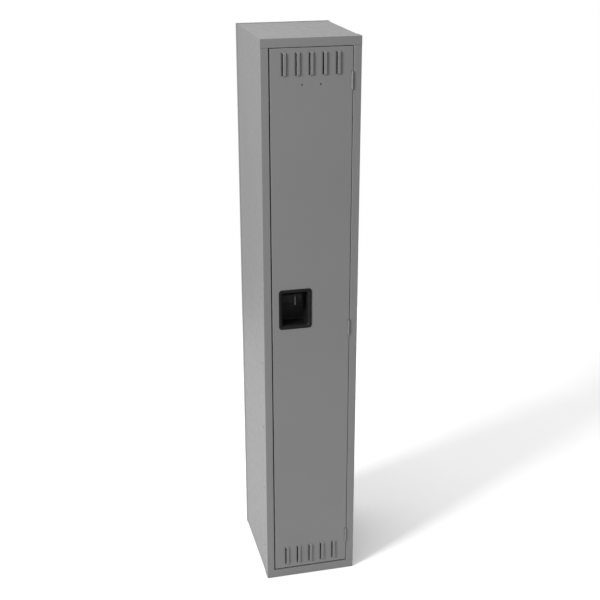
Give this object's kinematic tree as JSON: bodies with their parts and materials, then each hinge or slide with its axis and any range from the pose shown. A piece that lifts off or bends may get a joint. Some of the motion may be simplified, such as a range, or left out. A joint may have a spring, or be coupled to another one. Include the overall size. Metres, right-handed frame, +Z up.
{
  "type": "locker cabinet",
  "caption": "Tall single-tier sheet-steel locker with a louvred hinged door, recessed lift handle with padlock eye, hat shelf and coat hooks.",
  "frame": {"origin": "bottom centre of the whole locker, on the floor", "axes": "+Z up, -Y out of the front (the door), +X to the right seen from the front, where the hinges are"},
  "size_m": [0.308, 0.3868, 1.8288],
  "materials": {
    "grey_paint": "satin powder coat",
    "black_plastic": "fine moulded texture",
    "black_steel": "black coated steel",
    "zinc_plate": "zinc plate",
    "rubber": "matte"
  },
  "bodies": {
    "cabinet": {"left_upright": "grey_paint", "right_upright": "grey_paint", "header": "grey_paint", "sill": "grey_paint", "left_side_panel": "grey_paint", "right_side_panel": "grey_paint", "back_panel": "grey_paint", "top_panel": "grey_paint", "bottom_panel": "grey_paint", "hat_shelf": "grey_paint", "left_shelf_support": "grey_paint", "right_shelf_support": "grey_paint", "left_frame_bolts": "grey_paint", "right_frame_bolts": "grey_paint", "left_frame_nuts": "zinc_plate", "right_frame_nuts": "zinc_plate", "back_bolts": "zinc_plate", "back_nuts": "zinc_plate", "shelf_bolts": "zinc_plate", "shelf_nuts": "zinc_plate", "ceiling_hook": "zinc_plate", "ceiling_hook_rivets": "zinc_plate", "left_wall_hook": "zinc_plate", "right_wall_hook": "zinc_plate", "left_wall_hook_rivets": "zinc_plate", "right_wall_hook_rivets": "zinc_plate", "lower_hinge_frame_leaf": "grey_paint", "lower_hinge_pin": "grey_paint", "lower_latch_hook": "zinc_plate", "middle_hinge_frame_leaf": "grey_paint", "middle_hinge_pin": "grey_paint", "middle_latch_hook": "zinc_plate", "upper_hinge_frame_leaf": "grey_paint", "upper_hinge_pin": "grey_paint", "upper_latch_hook": "zinc_plate", "rubber_silencers": "rubber"},
    "door": {"door_panel": "grey_paint", "latch_channel": "grey_paint", "latch_bar_studs": "zinc_plate", "handle_cup": "black_plastic", "padlock_eye": "black_steel", "padlock_eye_rivets": "zinc_plate", "hinge_rivets": "zinc_plate", "lower_hinge_door_leaf": "grey_paint", "middle_hinge_door_leaf": "grey_paint", "upper_hinge_door_leaf": "grey_paint"},
    "latch": {"latch_bar": "zinc_plate", "finger_lift": "black_plastic", "lift_rivets": "zinc_plate"}
  },
  "joints": [
    {"name": "door_hinge", "type": "hinge", "parent": "cabinet", "child": "door", "pos_m": [0.1243, -0.1902, 0.913], "axis": [0, 0, 1], "range_deg": [0, 170]},
    {"name": "latch_lift", "type": "slide", "parent": "door", "child": "latch", "axis": [0, 0, 1], "range_m": [0, 0.008]}
  ]
}
